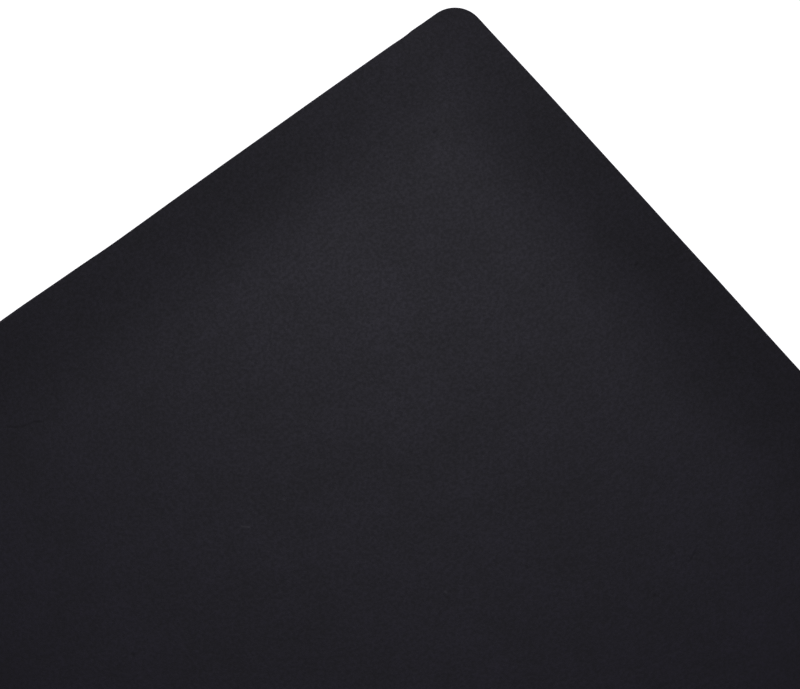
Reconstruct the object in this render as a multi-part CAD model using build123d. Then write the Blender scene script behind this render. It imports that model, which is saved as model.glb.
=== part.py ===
from build123d import *

import os

# Self-healing cutting mat: a flat rectangular sheet for leather and craft knife work, heat-fused
# from five PVC plies. The same stack is used above and below the core, so either face can be cut on.
#
# Frame: the mat lies flat. +X runs along the long side, +Y along the short side and +Z up, out of
# the work face. The origin is at the centre of the underside. All sizes are in millimetres.

# Driving dimensions
MAT_LENGTH = 450.0
MAT_WIDTH = 300.0
CORNER_RADIUS = 10.0

SKIN_THICKNESS = 0.35       # textured, harder-wearing film that the knife meets first
HEALING_THICKNESS = 0.80    # soft ply that closes up behind the blade
CORE_THICKNESS = 0.70       # rigid sheet that stops the blade and keeps the mat flat

ARRIS_RADIUS = 0.25         # rounding where each face turns into the cut edge
HEALING_SETBACK = 0.10      # the soft plies shrink back a little behind the edge after trimming


def mat_outline(setback):
    """The mat's rounded rectangle, brought in all round by one ply's setback."""
    return RectangleRounded(
        MAT_LENGTH - 2 * setback,
        MAT_WIDTH - 2 * setback,
        CORNER_RADIUS - setback,
    )


def plain_ply(base_height, thickness, setback=0.0):
    """One flat ply, square-edged, with its underside at base_height."""
    return extrude(Pos(0, 0, base_height) * mat_outline(setback), amount=thickness)


def skin_ply(base_height, outer_face):
    """A skin: a flush ply whose outer face, the highest or the lowest, has a rounded rim."""
    ply = plain_ply(base_height, SKIN_THICKNESS)
    rim = ply.faces().sort_by(Axis.Z)[outer_face].edges()
    return fillet(rim, ARRIS_RADIUS)


def build_plies():
    """All five plies from the underside up, by name."""
    lower_healing_base = SKIN_THICKNESS
    core_base = lower_healing_base + HEALING_THICKNESS
    upper_healing_base = core_base + CORE_THICKNESS
    upper_skin_base = upper_healing_base + HEALING_THICKNESS
    return {
        "bottom_wear_skin": skin_ply(0.0, outer_face=0),
        "bottom_healing_layer": plain_ply(lower_healing_base, HEALING_THICKNESS, HEALING_SETBACK),
        "rigid_core": plain_ply(core_base, CORE_THICKNESS),
        "top_healing_layer": plain_ply(upper_healing_base, HEALING_THICKNESS, HEALING_SETBACK),
        "top_wear_skin": skin_ply(upper_skin_base, outer_face=-1),
    }


os.makedirs("parts", exist_ok=True)
for name, ply in build_plies().items():
    ply.label = name
    export_step(ply, f"parts/{name}.step")
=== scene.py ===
import math
import random
from collections import defaultdict, namedtuple

import bmesh
import bpy
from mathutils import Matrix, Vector, noise


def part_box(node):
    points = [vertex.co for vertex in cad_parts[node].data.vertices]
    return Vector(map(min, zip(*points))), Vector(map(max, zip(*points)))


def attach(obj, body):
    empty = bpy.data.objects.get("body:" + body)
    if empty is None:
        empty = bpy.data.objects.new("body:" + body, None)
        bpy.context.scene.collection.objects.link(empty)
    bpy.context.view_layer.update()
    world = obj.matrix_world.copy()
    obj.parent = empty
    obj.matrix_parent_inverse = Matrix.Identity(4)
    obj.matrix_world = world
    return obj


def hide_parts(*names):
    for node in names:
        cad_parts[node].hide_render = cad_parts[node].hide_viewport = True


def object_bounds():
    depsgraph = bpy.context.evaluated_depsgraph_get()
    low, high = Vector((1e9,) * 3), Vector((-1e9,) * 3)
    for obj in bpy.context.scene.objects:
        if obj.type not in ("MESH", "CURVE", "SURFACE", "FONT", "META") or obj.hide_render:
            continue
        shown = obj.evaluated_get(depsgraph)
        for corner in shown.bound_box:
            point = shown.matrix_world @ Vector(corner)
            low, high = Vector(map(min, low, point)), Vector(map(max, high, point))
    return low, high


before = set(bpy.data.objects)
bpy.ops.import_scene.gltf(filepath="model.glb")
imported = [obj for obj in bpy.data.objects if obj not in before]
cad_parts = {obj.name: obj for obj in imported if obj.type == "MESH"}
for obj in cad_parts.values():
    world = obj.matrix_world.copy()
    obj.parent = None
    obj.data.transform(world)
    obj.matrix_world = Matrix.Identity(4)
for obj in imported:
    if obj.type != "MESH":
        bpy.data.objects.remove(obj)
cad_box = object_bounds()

# Self-healing cutting mat, finished ply by ply: two textured skins, two soft healing plies and the
# rigid core between them. Each ply is a closed mesh that stands for its plain CAD solid.
# Everything is in metres, in the mat's own frame: +X along the long side, +Z up.

MM = 0.001

# ---------------------------------------------------------------------------------------------
# Sizes that the plies share
# ---------------------------------------------------------------------------------------------
MAT_LOW, MAT_HIGH = cad_box
CORNER_RADIUS = 10.0 * MM
CORNER_STEPS = 24
INNER_LOW = MAT_LOW.xy + Vector((CORNER_RADIUS, CORNER_RADIUS))
INNER_HIGH = MAT_HIGH.xy - Vector((CORNER_RADIUS, CORNER_RADIUS))

ARRIS_RADIUS = 0.25 * MM        # rounding between a face and the cut edge
ARRIS_STEPS = 6
BURR = 0.03 * MM                # tiny bevel that the cutter leaves on a ply's hidden corners

TOP_CELL = 2.0 * MM             # mesh spacing of the work face
UNDERSIDE_CELL = 3.0 * MM
HIDDEN_CELL = 1.0 * MM          # spacing round the rim of the plies between the skins
FACE_RINGS = (8.0, 6.0, 4.2, 2.8, 1.8, 1.1, 0.6, 0.4)   # millimetres in from the edge of a skin
HIDDEN_RING = 1.0 * MM          # the same for a face that another ply covers
EDGE_STEPS = 4                  # steps down the cut edge of a ply between the skins
SHARP_ANGLE = math.radians(35.0)

# ---------------------------------------------------------------------------------------------
# Unevenness of the rolled sheet and of the trimmed edge
# ---------------------------------------------------------------------------------------------
RELIEF_DEPTH = 0.05 * MM        # how far the outer faces sink below flat
RELIEF_SPAN = 55.0 * MM
RELIEF_FADE = (0.5 * MM, 4.0 * MM)      # none up to here from the edge, and full from here on
TRIM_SWAY = 0.05 * MM           # slow sway of the cut line
TRIM_SWAY_SPAN = 28.0 * MM
TRIM_CHATTER = 0.015 * MM
TRIM_CHATTER_SPAN = 3.5 * MM
PLY_DRAG = 0.04 * MM            # how unevenly a soft ply springs back behind the cut
PLY_DRAG_SPAN = 2.2 * MM        # along the edge, and half of it up the edge
PLY_DRAG_REACH = 0.8 * MM       # how far in from the edge the ply moves
PLY_HOLLOW = 0.05 * MM          # how far its edge is dished in

# Each of these gives its face or edge a pattern of its own.
TOP_RELIEF_SEED = 0.0
BOTTOM_RELIEF_SEED = 7.0
TOP_DRAG_SEED = 3.0
BOTTOM_DRAG_SEED = 5.0

# Where the cutter strayed from a straight line, near the corner at high X and high Y. Each entry
# has its place along the outline from the middle of that corner, positive along the long edge,
# its reach before and after that place, and how far it moves the edge outwards. In millimetres.
TRIM_FAULTS = (
    (-155.0, 20.0, 14.0, -0.09),
    (-7.9, 24.0, 5.0, -0.32),
    (17.0, 1.3, 1.3, 0.12),
    (21.0, 1.6, 3.2, -0.14),
    (60.0, 24.0, 24.0, 0.11),
    (137.0, 24.0, 8.0, -0.27),
    (172.0, 13.0, 20.0, 0.32),
)

# ---------------------------------------------------------------------------------------------
# Marks on the work face
# ---------------------------------------------------------------------------------------------
# Widths and depths are in millimetres. Tone runs from -1, much darker, to 1, much paler.
Mark = namedtuple("Mark", "half_width depth tone")
CUT = Mark(0.30, 0.02, -0.45)
HEALED_CUT = Mark(0.22, 0.006, -0.15)
DENT = Mark(0.65, 0.012, -0.35)
PIT = Mark(0.42, 0.016, -0.62)
SCUFF = Mark(0.30, 0.004, 0.45)

# Each mark's path, in millimetres back from the corner at high X and high Y, along X and along Y.
FOUND_MARKS = (
    (CUT, ((60, 184), (62, 185), (65, 186))),
    (DENT, ((66.5, 180), (67, 181))),
    (DENT, ((67.5, 183), (68.5, 184.5))),
    (CUT, ((197, 29), (194, 31.5), (190, 32.5), (188, 34))),
    (HEALED_CUT, ((69, 17), (68, 29), (64, 38))),
    (PIT, ((79, 187), (79.5, 187.5))),
    (PIT, ((16, 106), (16.5, 106))),
    (PIT, ((36, 32.5), (37, 32.5))),
    (PIT, ((207.5, 107), (207.5, 107.5))),
    (PIT, ((103, 157.5), (103, 158))),
    (PIT, ((43, 93), (43, 93.5))),
    (SCUFF, ((160.5, 96.5), (159, 98))),
    (SCUFF, ((146, 97.5), (146, 98))),
    (SCUFF, ((126, 148.5), (126, 149))),
)
STRAY_MARKS = 16                # more of the same on the rest of the work face
STRAY_SEED = 11
STRAY_FROM = 240.0              # millimetres back from that corner along X
STRAY_MARGIN = 8.0              # and from the edges
STRAY_LENGTHS = {PIT: 0.1, SCUFF: 1.4, HEALED_CUT: 9.0}
STRAY_KINDS = (PIT, PIT, SCUFF, SCUFF, HEALED_CUT)
FINEST_CELL = 0.13 * MM         # mesh spacing inside a mark
HALVED_ALREADY = 0.6            # an edge below this share of a cell isn't halved with the rest
LIP_HEIGHT = 0.12               # part of a mark's depth that stands up beside it
LIP_PLACE = 2.0                 # in half widths from the mark's path
LIP_WIDTH = 0.8
MARK_REACH = 3.5                # a mark and its lips end this many half widths from its path
SQUARE = 10.0 * MM              # the marks are looked up by square of the mat
FLATNESS = 0.001 * MM           # a vertex this near the height of a flat face lies on it


def smooth_step(low, high, value):
    """0 below low, 1 above high, and a smooth change between them."""
    t = min(max((value - low) / (high - low), 0.0), 1.0)
    return t * t * (3.0 - 2.0 * t)


def bell(distance, reach):
    return math.exp(-((distance / reach) ** 2))


def unit_noise(place, seed):
    """Smooth noise from 0 to 1, with a pattern of its own for each seed."""
    return 0.5 + 0.5 * noise.noise(place + Vector((0.0, 0.0, seed)))


# ---------------------------------------------------------------------------------------------
# Outline
# ---------------------------------------------------------------------------------------------
# One place on the rim: the grid corner behind it, that corner's point, the direction out of the
# mat, and the distance run round the outline from the middle of the corner at high X and high Y.
Column = namedtuple("Column", "grid anchor outward run")

OUTLINE = 2 * (sum(INNER_HIGH - INNER_LOW) + math.pi * CORNER_RADIUS)


def grid_cells(cell):
    """How many cells of about this size fill the mat inside its rim, along X and along Y."""
    inner = INNER_HIGH - INNER_LOW
    return round(inner.x / cell), round(inner.y / cell)


def grid_point(i, j, cells):
    inner = INNER_HIGH - INNER_LOW
    return INNER_LOW + Vector((inner.x * i / cells[0], inner.y * j / cells[1]))


def rim_columns(cells):
    """The rim's columns, anticlockwise from the start of the long edge at high Y."""
    nx, ny = cells
    sides = (
        [(i, ny) for i in range(nx, -1, -1)],
        [(0, j) for j in range(ny, -1, -1)],
        [(i, 0) for i in range(nx + 1)],
        [(nx, j) for j in range(ny + 1)],
    )
    arc_step = math.pi / 2 / CORNER_STEPS
    run = CORNER_RADIUS * math.pi / 4
    columns = []
    for quarter, side in enumerate(sides, start=1):
        turns = [0.0] * len(side) + [arc_step * k for k in range(1, CORNER_STEPS)]
        places = side + [side[-1]] * (CORNER_STEPS - 1)
        for place, turn in zip(places, turns):
            angle = quarter * math.pi / 2 + turn
            anchor = grid_point(*place, cells)
            if columns:
                run += (anchor - columns[-1].anchor).length
                run += CORNER_RADIUS * arc_step if anchor == columns[-1].anchor else 0.0
            columns.append(Column(place, anchor, Vector((math.cos(angle), math.sin(angle))), run))
    return columns


def trim_error(run):
    """How far the trimmed edge stands outside the true outline."""
    turn = 2 * math.pi * run / OUTLINE
    loop = Vector((math.cos(turn), math.sin(turn), 0.0)) * OUTLINE / (2 * math.pi)
    error = TRIM_SWAY * noise.noise(loop / TRIM_SWAY_SPAN)
    error += TRIM_CHATTER * noise.noise(loop / TRIM_CHATTER_SPAN)
    for place, before, after, outwards in TRIM_FAULTS:
        away = (run / MM - place + OUTLINE / MM / 2) % (OUTLINE / MM) - OUTLINE / MM / 2
        error += outwards * MM * bell(away, before if away < 0 else after)
    return error


# ---------------------------------------------------------------------------------------------
# Closed sheets
# ---------------------------------------------------------------------------------------------
def sheet_mesh(cell, profile, gridded):
    """A closed sheet with the mat's outline. profile lists (inset, height) from one face, over the
    edge, to the other. A gridded sheet has its first face divided into cells."""
    bm = bmesh.new()
    cells = grid_cells(cell)
    columns = rim_columns(cells)
    loops = []
    for inset, height in profile:
        rim_share = 1.0 - inset / CORNER_RADIUS
        loop = []
        for column in columns:
            reach = CORNER_RADIUS - inset + trim_error(column.run) * rim_share
            point = column.anchor + column.outward * reach
            loop.append(bm.verts.new((point.x, point.y, height)))
        loops.append(loop)
    for upper, lower in zip(loops, loops[1:]):
        for k in range(len(columns)):
            bm.faces.new((upper[k - 1], upper[k], lower[k], lower[k - 1]))
    if gridded:
        fill_with_grid(bm, cells, columns, loops[0], profile[0][1])
    else:
        bm.faces.new(loops[0])
    bm.faces.new(loops[-1])
    bmesh.ops.recalc_face_normals(bm, faces=bm.faces)
    return bm


def fill_with_grid(bm, cells, columns, loop, height):
    """Fills a loop of the rim with square cells, and joins them to it."""
    nx, ny = cells
    grid = {}
    for i in range(nx + 1):
        for j in range(ny + 1):
            grid[i, j] = bm.verts.new((*grid_point(i, j, cells), height))
    for i in range(nx):
        for j in range(ny):
            bm.faces.new((grid[i, j], grid[i + 1, j], grid[i + 1, j + 1], grid[i, j + 1]))
    for k, column in enumerate(columns):
        behind, beside = grid[columns[k - 1].grid], grid[column.grid]
        if behind is beside:
            bm.faces.new((behind, loop[k - 1], loop[k]))
        else:
            bm.faces.new((behind, loop[k - 1], loop[k], beside))


def skin_profile(outer, inner):
    """A skin's section, from its outer face at height outer over the rounded arris to the inner."""
    side = 1.0 if outer > inner else -1.0
    profile = [(inset * MM, outer) for inset in FACE_RINGS]
    for k in range(ARRIS_STEPS + 1):
        angle = math.pi / 2 * k / ARRIS_STEPS
        inset = ARRIS_RADIUS * (1.0 - math.sin(angle))
        profile.append((inset, outer - side * ARRIS_RADIUS * (1.0 - math.cos(angle))))
    return profile + [(0.0, inner + side * BURR), (BURR, inner), (HIDDEN_RING, inner)]


def hidden_profile(low, high, setback, hollow):
    """The section of a ply between the skins. Its edge is set back, and dished in by hollow."""
    profile = [(HIDDEN_RING, high), (setback + BURR, high)]
    for step in range(EDGE_STEPS + 1):
        share = step / EDGE_STEPS
        height = high - BURR - (high - low - 2 * BURR) * share
        profile.append((setback + hollow * math.sin(math.pi * share), height))
    return profile + [(setback + BURR, low), (HIDDEN_RING, low)]


def edge_distance(x, y):
    """How far a point lies inside the mat's true outline."""
    centre = (MAT_LOW + MAT_HIGH) / 2
    out_x = abs(x - centre.x) - (INNER_HIGH.x - centre.x)
    out_y = abs(y - centre.y) - (INNER_HIGH.y - centre.y)
    outside = math.hypot(max(out_x, 0.0), max(out_y, 0.0))
    return CORNER_RADIUS - outside - min(max(out_x, out_y), 0.0)


def face_vertices(bm, height):
    """The vertices of the flat face at this height."""
    return [vertex for vertex in bm.verts if abs(vertex.co.z - height) < FLATNESS]


def sink_relief(face, inward, seed):
    """Sinks an outer face by a slowly changing amount, so that it isn't dead flat."""
    for vertex in face:
        place = Vector((vertex.co.x, vertex.co.y, 0.0)) / RELIEF_SPAN
        slow = unit_noise(place, seed)
        rim = smooth_step(*RELIEF_FADE, edge_distance(vertex.co.x, vertex.co.y))
        vertex.co.z += inward * RELIEF_DEPTH * slow * rim


def drag_edge(bm, seed):
    """Makes a soft ply's cut edge uneven, as the blade drags it."""
    for vertex in bm.verts:
        inside = edge_distance(vertex.co.x, vertex.co.y)
        if inside > PLY_DRAG_REACH:
            continue
        place = Vector((vertex.co.x, vertex.co.y, 2.0 * vertex.co.z)) / PLY_DRAG_SPAN
        pull = unit_noise(place, seed)
        centre = Vector((
            min(max(vertex.co.x, INNER_LOW.x), INNER_HIGH.x),
            min(max(vertex.co.y, INNER_LOW.y), INNER_HIGH.y),
        ))
        vertex.co.xy -= (vertex.co.xy - centre).normalized() * PLY_DRAG * pull


# ---------------------------------------------------------------------------------------------
# Marks
# ---------------------------------------------------------------------------------------------
def stray_marks():
    """A few seeded marks for the part of the work face past the found ones."""
    draw = random.Random(STRAY_SEED)
    length = (MAT_HIGH.x - MAT_LOW.x) / MM
    width = (MAT_HIGH.y - MAT_LOW.y) / MM
    marks = []
    for _ in range(STRAY_MARKS):
        back = draw.uniform(STRAY_FROM, length - STRAY_MARGIN)
        down = draw.uniform(STRAY_MARGIN, width - STRAY_MARGIN)
        kind = draw.choice(STRAY_KINDS)
        run = STRAY_LENGTHS[kind]
        angle = draw.uniform(0.0, math.pi)
        end = (back + run * math.cos(angle), down + run * math.sin(angle))
        marks.append((kind, ((back, down), end)))
    return marks


def mark_segments(marks):
    """Each straight stretch of each mark: its kind and its two ends, in metres in the mat's frame."""
    corner = MAT_HIGH.xy
    segments = []
    for kind, path in marks:
        points = [corner - Vector(point) * MM for point in path]
        segments += [(kind, start, end) for start, end in zip(points, points[1:])]
    return segments


def segment_distance(point, start, end):
    along = end - start
    share = min(max((point - start).dot(along) / along.length_squared, 0.0), 1.0)
    return (point - start - along * share).length


def square(point):
    """The square of the mat, SQUARE across, that a point lies in."""
    return math.floor(point.x / SQUARE), math.floor(point.y / SQUARE)


def segments_by_square(segments, room):
    """For each square of the mat, the segments that come within room of it."""
    found = defaultdict(list)
    margin = Vector((room, room))
    for segment in segments:
        _, start, end = segment
        low = square(Vector(map(min, start, end)) - margin)
        high = square(Vector(map(max, start, end)) + margin)
        for i in range(low[0], high[0] + 1):
            for j in range(low[1], high[1] + 1):
                found[i, j].append(segment)
    return found


def refine_at_marks(bm, cell, outer, nearby):
    """Halves the cells round each mark again and again, down to FINEST_CELL."""
    while cell > FINEST_CELL:
        near = []
        for edge in bm.edges:
            middle = (edge.verts[0].co + edge.verts[1].co) / 2
            for kind, start, end in nearby.get(square(middle), ()):
                room = kind.half_width * MARK_REACH * MM + cell
                flat = abs(middle.z - outer) < FLATNESS
                if flat and segment_distance(middle.xy, start, end) < room:
                    near.append(edge)
                    break
        coarse = [edge for edge in near if edge.calc_length() > HALVED_ALREADY * cell]
        bmesh.ops.subdivide_edges(bm, edges=coarse, cuts=1, use_grid_fill=True)
        cell /= 2


def press_marks(face, tone_layer, nearby):
    """Presses each mark into the face, with low lips beside it, and notes its tone in the layer."""
    for vertex in face:
        sunk, tone = 0.0, 0.0
        for kind, start, end in nearby.get(square(vertex.co), ()):
            away = segment_distance(vertex.co.xy, start, end) / (kind.half_width * MM)
            lip = LIP_HEIGHT * bell(away - LIP_PLACE, LIP_WIDTH)
            sunk = max(sunk, kind.depth * MM * (bell(away, 1.0) - lip), key=abs)
            tone = max(tone, kind.tone * bell(away, 1.0), key=abs)
        vertex[tone_layer] = tone
        vertex.co.z -= sunk


# ---------------------------------------------------------------------------------------------
# Materials
# ---------------------------------------------------------------------------------------------
# A smooth noise: how many metres across its features are, how many finer layers of itself it has,
# and how strong each layer is beside the one before.
Noise = namedtuple("Noise", "size detail roughness")
NOISE_RANGE = (0.3, 0.7)        # most of a noise's values lie between these

# The skins. A tone is a share of the colour, up and down.
SKIN_COLOUR = (0.0082, 0.0068, 0.0140)
SKIN_SCUFFED = (0.060, 0.058, 0.066)
SKIN_ROUGHNESS = 0.50
SKIN_SPECULAR = 0.32
GRAIN = Noise(1.05 * MM, 3.0, 0.65)     # the embossed grain
GRAIN_HEIGHT = 0.034 * MM
GRAIN_TONE = 0.31
GRAIN_ROUGHNESS = 0.03
FIBRE = Noise(0.28 * MM, 1.0, 0.5)      # finer grain on top of it
FIBRE_HEIGHT = 0.006 * MM
MOTTLE = Noise(14.0 * MM, 4.0, 0.85)    # patches that the rolls leave
MOTTLE_HEIGHT = 0.05 * MM
MOTTLE_TONE = 0.20
MOTTLE_ROUGHNESS = 0.005
CLOUDS = Noise(60.0 * MM, 2.0, 0.5)
CLOUD_TONE = 0.08
CLOUD_ROUGHNESS = 0.006

RIM_BAND = (7.0 * MM, 44.0 * MM)        # the dull band by the edge, darkened with painted shade, is full up to here, and ends here
RIM_PAINTED_SHADE = 0.35            # painted shade: how much of its colour the skin loses in that band
RIM_DULLING = 0.11              # how much rougher it is there
LONG_RIM_SHARE = 0.8            # how strong the band is on the long edges
CORNER_RIM_SHARE = 0.62         # and at the corners, from where it grows to full over CORNER_REACH
CORNER_REACH = 115.0 * MM

ARRIS_BAND = (0.12 * MM, 0.55 * MM)     # the worn arris is full up to here, and ends here
ARRIS_POLISH = 0.10             # how much smoother it is there
RUBBED = Noise(5.0 * MM, 4.0, 0.7)      # patches where it has rubbed paler
RUBBED_RANGE = (0.48, 0.66)
RUBBED_SHARE = (0.12, 0.62)

MARK_DARKENING = 0.5            # how much of its colour the skin loses in the darkest mark
MARK_DULLING = 0.12

# The cut edges of the inner plies. Stretches are along X, Y and Z, and below 1 they lengthen.
CutEdge = namedtuple("CutEdge", "colour roughness drag_height")
SOFT_EDGE = CutEdge((0.024, 0.023, 0.027), 0.60, 0.030 * MM)
CORE_EDGE = CutEdge((0.042, 0.041, 0.045), 0.44, 0.018 * MM)
TORN_COLOUR = (0.090, 0.088, 0.095)
EDGE_SPECULAR = 0.4
DRAG = Noise(0.35 * MM, 2.0, 0.6)       # upright lines left by the blade
DRAG_STRETCH = (1.0, 1.0, 0.12)
DRAG_TONE = 0.32
DRAG_ROUGHNESS = 0.09
TEARS = Noise(1.8 * MM, 4.0, 0.7)
TEAR_STRETCH = (1.0, 1.0, 0.5)
TEAR_RANGE = (0.58, 0.72)
TEAR_SHARE = 0.45
TEAR_HEIGHT = 0.05 * MM
PATCHES = Noise(20.0 * MM, 2.0, 0.5)
PATCH_TONE = 0.08


class Shader:
    """A material's node tree, with one short call for each kind of node used here."""

    def __init__(self, name):
        self.material = bpy.data.materials.new(name)
        self.material.use_nodes = True
        self.tree = self.material.node_tree
        self.surface = self.tree.nodes["Principled BSDF"]
        self.coords = self.tree.nodes.new("ShaderNodeTexCoord").outputs["Object"]

    def put(self, socket, value):
        """Sets a socket to a number or colour, or links an output to it."""
        if isinstance(value, bpy.types.NodeSocket):
            self.tree.links.new(value, socket)
        elif socket.type == "RGBA":
            socket.default_value = (*value, 1.0)
        else:
            socket.default_value = value

    def math(self, operation, *values):
        node = self.tree.nodes.new("ShaderNodeMath")
        node.operation = operation
        for socket, value in zip(node.inputs, values):
            self.put(socket, value)
        return node.outputs[0]

    def scaled(self, scale):
        """The object's coordinates, multiplied along each axis."""
        node = self.tree.nodes.new("ShaderNodeMapping")
        self.put(node.inputs["Vector"], self.coords)
        node.inputs["Scale"].default_value = scale
        return node.outputs[0]

    def noise(self, kind, vector=None):
        """A Noise, from 0 to 1, over the object's coordinates or over another vector."""
        node = self.tree.nodes.new("ShaderNodeTexNoise")
        self.put(node.inputs["Vector"], vector or self.coords)
        node.inputs["Scale"].default_value = 1.0 / kind.size
        node.inputs["Detail"].default_value = kind.detail
        node.inputs["Roughness"].default_value = kind.roughness
        return node.outputs["Fac"]

    def band(self, value, low, high, out_low, out_high):
        """Maps low..high of a value smoothly onto out_low..out_high, and holds it outside that."""
        node = self.tree.nodes.new("ShaderNodeMapRange")
        node.interpolation_type = "SMOOTHSTEP"
        for name, setting in (
            ("Value", value),
            ("From Min", low),
            ("From Max", high),
            ("To Min", out_low),
            ("To Max", out_high),
        ):
            self.put(node.inputs[name], setting)
        return node.outputs[0]

    def swing(self, noise, middle, reach):
        """A value that swings this far either way about its middle as the noise rises and falls."""
        return self.band(noise, *NOISE_RANGE, middle - reach, middle + reach)

    def mix(self, share, first, second):
        """A colour between two colours."""
        node = self.tree.nodes.new("ShaderNodeMix")
        node.data_type = "RGBA"
        sockets = {s.identifier: s for s in node.inputs}
        self.put(sockets["Factor_Float"], share)
        self.put(sockets["A_Color"], first)
        self.put(sockets["B_Color"], second)
        return next(s for s in node.outputs if s.identifier == "Result_Color")

    def brighten(self, colour, factor):
        """A colour multiplied by a number."""
        node = self.tree.nodes.new("ShaderNodeVectorMath")
        node.operation = "SCALE"
        self.put(node.inputs[0], colour)
        self.put(node.inputs["Scale"], factor)
        return node.outputs[0]

    def bump(self, height, distance, below=None):
        """A bump of this many metres, on top of another bump."""
        node = self.tree.nodes.new("ShaderNodeBump")
        node.inputs["Strength"].default_value = 1.0
        node.inputs["Distance"].default_value = distance
        self.put(node.inputs["Height"], height)
        if below is not None:
            self.put(node.inputs["Normal"], below)
        return node.outputs[0]

    def rim_distances(self):
        """How far a point lies inside the mat's outline, its short edges and its long edges."""
        split = self.tree.nodes.new("ShaderNodeSeparateXYZ")
        self.put(split.inputs[0], self.coords)
        centre = (MAT_LOW + MAT_HIGH) / 2
        out = [
            self.math(
                "SUBTRACT",
                self.math("ABSOLUTE", self.math("SUBTRACT", split.outputs[axis], centre[axis])),
                INNER_HIGH[axis] - centre[axis],
            )
            for axis in (0, 1)
        ]
        clipped = [self.math("MAXIMUM", value, 0.0) for value in out]
        squares = [self.math("MULTIPLY", value, value) for value in clipped]
        outside = self.math("SQRT", self.math("ADD", *squares))
        inside = self.math("MINIMUM", self.math("MAXIMUM", *out), 0.0)
        outline = self.math("SUBTRACT", CORNER_RADIUS, self.math("ADD", outside, inside))
        short_edges, long_edges = (self.math("SUBTRACT", CORNER_RADIUS, value) for value in out)
        return outline, short_edges, long_edges


def skin_material(name, marked):
    """Black PVC with a fine embossed grain, cloudy where the rolls pressed it, rougher and darkened
    with painted shade in a band along its edges, and a little worn along the arris. A marked skin also
    shows the tone of its cuts, pits and scuffs."""
    s = Shader(name)
    outline, short_edges, long_edges = s.rim_distances()
    grain = s.noise(GRAIN)
    fibre = s.noise(FIBRE)
    mottle = s.noise(MOTTLE)
    clouds = s.noise(CLOUDS)

    # A band along the edges is rougher, and its colour holds painted shade, darker where the light's
    # sheen falls off; it is fainter on the long ones and at the corners.
    rim = s.math(
        "MAXIMUM",
        s.band(short_edges, *RIM_BAND, 1.0, 0.0),
        s.band(long_edges, *RIM_BAND, LONG_RIM_SHARE, 0.0),
    )
    far_along = s.math("MAXIMUM", short_edges, long_edges)
    rim = s.math("MULTIPLY", rim, s.band(far_along, CORNER_RADIUS, CORNER_REACH, CORNER_RIM_SHARE, 1.0))

    # Painted shade: the colour darkens in the band along the edges, where the sheen fades.
    tone = s.math("SUBTRACT", 1.0, s.math("MULTIPLY", rim, RIM_PAINTED_SHADE))
    roughness = s.math("MULTIPLY_ADD", rim, RIM_DULLING, SKIN_ROUGHNESS)
    for pattern, tone_reach, roughness_reach in (
        (grain, GRAIN_TONE, GRAIN_ROUGHNESS),
        (mottle, MOTTLE_TONE, MOTTLE_ROUGHNESS),
        (clouds, CLOUD_TONE, CLOUD_ROUGHNESS),
    ):
        tone = s.math("MULTIPLY", tone, s.swing(pattern, 1.0, tone_reach))
        roughness = s.math("SUBTRACT", roughness, s.swing(pattern, 0.0, roughness_reach))
    colour = s.brighten(SKIN_COLOUR, tone)

    arris = s.band(outline, *ARRIS_BAND, 1.0, 0.0)
    rubbed = s.band(s.noise(RUBBED), *RUBBED_RANGE, *RUBBED_SHARE)
    colour = s.mix(s.math("MULTIPLY", arris, rubbed), colour, SKIN_SCUFFED)
    roughness = s.math("SUBTRACT", roughness, s.math("MULTIPLY", arris, ARRIS_POLISH))

    if marked:
        attribute = s.tree.nodes.new("ShaderNodeAttribute")
        attribute.attribute_name = "mark_tone"
        mark_tone = attribute.outputs["Fac"]
        dark = s.math("MAXIMUM", s.math("MULTIPLY", mark_tone, -1.0), 0.0)
        pale = s.math("MAXIMUM", mark_tone, 0.0)
        colour = s.brighten(colour, s.math("SUBTRACT", 1.0, s.math("MULTIPLY", dark, MARK_DARKENING)))
        colour = s.mix(pale, colour, SKIN_SCUFFED)
        roughness = s.math("MULTIPLY_ADD", dark, MARK_DULLING, roughness)

    s.put(s.surface.inputs["Base Color"], colour)
    s.put(s.surface.inputs["Roughness"], roughness)
    s.surface.inputs["Specular IOR Level"].default_value = SKIN_SPECULAR
    rolled = s.bump(mottle, MOTTLE_HEIGHT)
    pebbled = s.bump(grain, GRAIN_HEIGHT, below=rolled)
    s.put(s.surface.inputs["Normal"], s.bump(fibre, FIBRE_HEIGHT, below=pebbled))
    return s.material


def cut_edge_material(name, look):
    """The trimmed edge of an inner ply: fine upright lines where the blade dragged, with a few
    paler tears."""
    s = Shader(name)
    drag = s.noise(DRAG, vector=s.scaled(DRAG_STRETCH))
    tears = s.noise(TEARS, vector=s.scaled(TEAR_STRETCH))
    patches = s.noise(PATCHES)
    tone = s.math("MULTIPLY", s.swing(drag, 1.0, DRAG_TONE), s.swing(patches, 1.0, PATCH_TONE))
    torn = s.band(tears, *TEAR_RANGE, 0.0, TEAR_SHARE)
    s.put(s.surface.inputs["Base Color"], s.mix(torn, s.brighten(look.colour, tone), TORN_COLOUR))
    s.put(s.surface.inputs["Roughness"], s.swing(drag, look.roughness, DRAG_ROUGHNESS))
    s.surface.inputs["Specular IOR Level"].default_value = EDGE_SPECULAR
    ragged = s.bump(tears, TEAR_HEIGHT)
    s.put(s.surface.inputs["Normal"], s.bump(drag, look.drag_height, below=ragged))
    return s.material


def floor_material():
    """A white sweep that stays white under soft light."""
    s = Shader("studio_floor")
    s.put(s.surface.inputs["Base Color"], FLOOR_COLOUR)
    s.surface.inputs["Roughness"].default_value = FLOOR_ROUGHNESS
    s.put(s.surface.inputs["Emission Color"], FLOOR_GLOW_COLOUR)
    s.surface.inputs["Emission Strength"].default_value = FLOOR_GLOW
    return s.material


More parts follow.
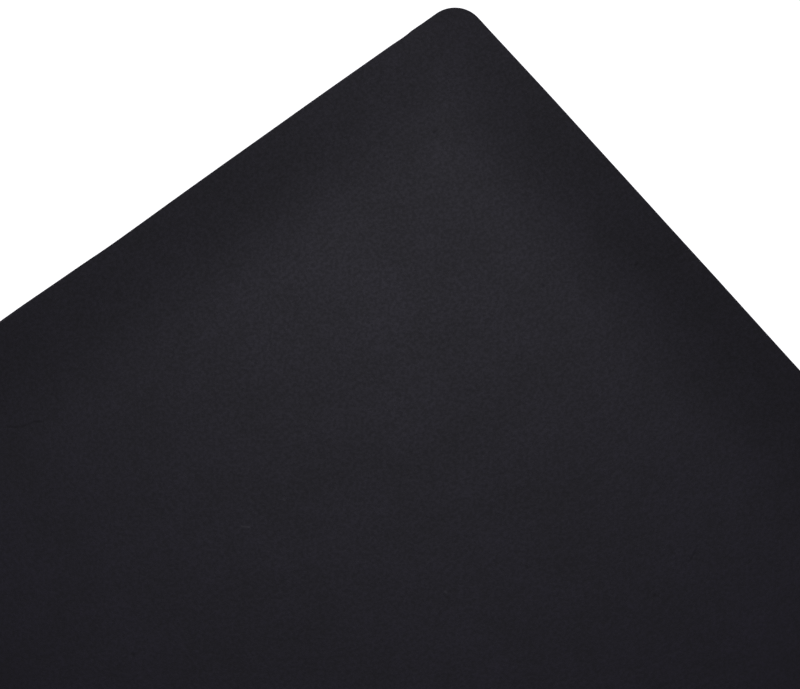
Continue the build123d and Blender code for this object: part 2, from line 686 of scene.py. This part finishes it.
# ---------------------------------------------------------------------------------------------
# The five plies
# ---------------------------------------------------------------------------------------------
def add_piece(name, bm, node, material):
    """Makes a ply's object from its mesh, in place of its CAD node."""
    mesh = bpy.data.meshes.new(name)
    bm.to_mesh(mesh)
    bm.free()
    mesh.shade_smooth()
    mesh.set_sharp_from_angle(angle=SHARP_ANGLE)
    mesh.materials.append(material)
    piece = bpy.data.objects.new(name, mesh)
    bpy.context.scene.collection.objects.link(piece)
    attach(piece, "root")
    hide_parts(node)


def add_top_skin():
    low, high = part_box("top_wear_skin")
    segments = mark_segments(FOUND_MARKS) + mark_segments(stray_marks())
    widest = max(kind.half_width for kind, _, _ in segments) * MM
    nearby = segments_by_square(segments, room=2 * TOP_CELL + MARK_REACH * widest)
    bm = sheet_mesh(TOP_CELL, skin_profile(high.z, low.z), gridded=True)
    refine_at_marks(bm, TOP_CELL, high.z, nearby)
    tone_layer = bm.verts.layers.float.new("mark_tone")
    face = face_vertices(bm, high.z)
    press_marks(face, tone_layer, nearby)
    sink_relief(face, inward=-1.0, seed=TOP_RELIEF_SEED)
    add_piece("top_skin", bm, "top_wear_skin", skin_material("top_skin_pvc", True))


def add_bottom_skin():
    low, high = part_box("bottom_wear_skin")
    bm = sheet_mesh(UNDERSIDE_CELL, skin_profile(low.z, high.z), gridded=True)
    sink_relief(face_vertices(bm, low.z), inward=1.0, seed=BOTTOM_RELIEF_SEED)
    material = skin_material("bottom_skin_pvc", False)
    add_piece("bottom_skin", bm, "bottom_wear_skin", material)


def add_healing_ply(name, node, material, seed):
    low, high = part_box(node)
    setback = MAT_HIGH.x - high.x
    bm = sheet_mesh(HIDDEN_CELL, hidden_profile(low.z, high.z, setback, PLY_HOLLOW), gridded=False)
    drag_edge(bm, seed)
    add_piece(name, bm, node, material)


def add_core(material):
    low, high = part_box("rigid_core")
    bm = sheet_mesh(HIDDEN_CELL, hidden_profile(low.z, high.z, 0.0, 0.0), gridded=False)
    add_piece("core_sheet", bm, "rigid_core", material)


def build_mat():
    soft = cut_edge_material("soft_ply_edge", SOFT_EDGE)
    hard = cut_edge_material("core_edge", CORE_EDGE)
    add_top_skin()
    add_healing_ply("top_soft_ply", "top_healing_layer", soft, TOP_DRAG_SEED)
    add_core(hard)
    add_healing_ply("bottom_soft_ply", "bottom_healing_layer", soft, BOTTOM_DRAG_SEED)
    add_bottom_skin()


# ---------------------------------------------------------------------------------------------
# Studio
# ---------------------------------------------------------------------------------------------
FLOOR_SIZE = 12.0
FLOOR_COLOUR = (0.86, 0.86, 0.86)
FLOOR_ROUGHNESS = 0.9
FLOOR_GLOW = 0.9
FLOOR_GLOW_COLOUR = (1.0, 1.0, 1.0)
WALL_LIGHT = 0.5
WALL_TOP = 0.15                 # the sine of the elevation where the walls' light begins to fade
CEILING_LIGHT = 0.165
CEILING_EDGE = 0.65             # and of the one where it has faded to the ceiling's
WORLD_SHOWN = 1.1               # bright enough to show as pure white
LIGHT_TINT = (0.98, 0.96, 1.06)         # a little cool, as daylight lamps are

KEY_PLACE = Vector((0.476, 0.517, 1.153))
KEY_SIZE = 0.42
KEY_POWER = 2.85

CAMERA_LENS = 85.0
CAMERA_AZIMUTH = math.radians(38.45)        # turned from +Y towards +X
CAMERA_ELEVATION = math.radians(70.86)
CAMERA_DISTANCE = 0.5711
CAMERA_AIM = Vector((MAT_HIGH.x - 89.3 * MM, MAT_HIGH.y - 81.2 * MM, MAT_HIGH.z))


def add_floor():
    half = FLOOR_SIZE / 2
    mesh = bpy.data.meshes.new("floor")
    corners = [(-half, -half, 0.0), (half, -half, 0.0), (half, half, 0.0), (-half, half, 0.0)]
    mesh.from_pydata(corners, [], [(0, 1, 2, 3)])
    mesh.materials.append(floor_material())
    floor = bpy.data.objects.new("floor", mesh)
    bpy.context.scene.collection.objects.link(floor)


def add_softbox(name, place, size, power):
    """A square soft light that faces the mat."""
    light = bpy.data.lights.new(name, "AREA")
    light.shape = "SQUARE"
    light.size = size
    light.energy = power
    light.color = LIGHT_TINT
    lamp = bpy.data.objects.new(name, light)
    lamp.location = place
    lamp.rotation_euler = (CAMERA_AIM - place).to_track_quat("-Z", "Y").to_euler()
    bpy.context.scene.collection.objects.link(lamp)


def add_world():
    """White to the camera. As a light, it's a studio with pale walls and a dimmer ceiling."""
    world = bpy.data.worlds.new("studio")
    world.cycles.sampling_method = "NONE"       # it changes too slowly to need sampling as a light
    world.use_nodes = True
    tree = world.node_tree
    background = tree.nodes["Background"]
    background.inputs["Color"].default_value = (*LIGHT_TINT, 1.0)
    direction = tree.nodes.new("ShaderNodeTexCoord")
    split = tree.nodes.new("ShaderNodeSeparateXYZ")
    tree.links.new(direction.outputs["Generated"], split.inputs[0])
    room = tree.nodes.new("ShaderNodeMapRange")
    room.interpolation_type = "SMOOTHSTEP"
    tree.links.new(split.outputs["Z"], room.inputs["Value"])
    room.inputs["From Min"].default_value = WALL_TOP
    room.inputs["From Max"].default_value = CEILING_EDGE
    room.inputs["To Min"].default_value = WALL_LIGHT
    room.inputs["To Max"].default_value = CEILING_LIGHT
    rays = tree.nodes.new("ShaderNodeLightPath")
    strength = tree.nodes.new("ShaderNodeMapRange")
    tree.links.new(rays.outputs["Is Camera Ray"], strength.inputs["Value"])
    tree.links.new(room.outputs[0], strength.inputs["To Min"])
    strength.inputs["To Max"].default_value = WORLD_SHOWN
    tree.links.new(strength.outputs[0], background.inputs["Strength"])
    bpy.context.scene.world = world


def add_camera():
    data = bpy.data.cameras.new("camera")
    data.lens = CAMERA_LENS
    camera = bpy.data.objects.new("camera", data)
    ahead = Vector((
        math.sin(CAMERA_AZIMUTH) * math.cos(CAMERA_ELEVATION),
        math.cos(CAMERA_AZIMUTH) * math.cos(CAMERA_ELEVATION),
        -math.sin(CAMERA_ELEVATION),
    ))
    camera.location = CAMERA_AIM - ahead * CAMERA_DISTANCE
    camera.rotation_euler = ahead.to_track_quat("-Z", "Y").to_euler()
    bpy.context.scene.collection.objects.link(camera)
    bpy.context.scene.camera = camera


def light_the_studio():
    add_floor()
    add_softbox("key", KEY_PLACE, KEY_SIZE, KEY_POWER)
    add_world()
    add_camera()
    bpy.context.scene.view_settings.view_transform = "Standard"


build_mat()
light_the_studio()
